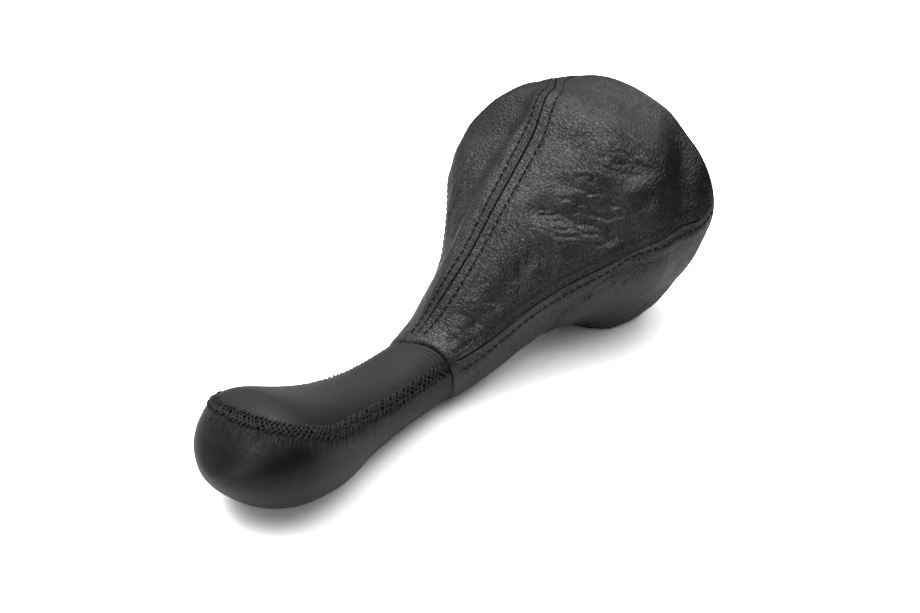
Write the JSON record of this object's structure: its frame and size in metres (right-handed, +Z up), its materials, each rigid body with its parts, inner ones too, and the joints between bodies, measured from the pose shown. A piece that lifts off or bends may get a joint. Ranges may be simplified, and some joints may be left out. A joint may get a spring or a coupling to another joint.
{
  "type": "gear lever gaiter",
  "caption": "Leather-covered gear knob with a sewn four-panel leather gaiter tied to its neck, lying on its belly.",
  "frame": {"origin": "below the middle of the part's box, on the surface it lies on", "axes": "+Z up as it lies; +X from the knob's nose to the gaiter's open mouth; -Y the side nearer the viewer"},
  "size_m": [0.2094, 0.1002, 0.0927],
  "materials": {
    "gaiter_leather": "grained, soft",
    "knob_leather": "stretched, smooth",
    "thread": "twisted",
    "moulding": "moulded",
    "nylon": "natural",
    "tape": "woven"
  },
  "bodies": {
    "root": {"knob_core": "moulding", "lever_bush": "nylon", "neck_tie": "nylon", "knob_top_cover": "knob_leather", "knob_belly_cover": "knob_leather", "knob_lacing": "thread", "gaiter_upper_near": "gaiter_leather", "gaiter_upper_far": "gaiter_leather", "gaiter_lower_far": "gaiter_leather", "gaiter_lower_near": "gaiter_leather", "seam_tape_near": "tape", "seam_tape_top": "tape", "seam_tape_far": "tape", "seam_tape_bottom": "tape"}
  },
  "joints": []
}
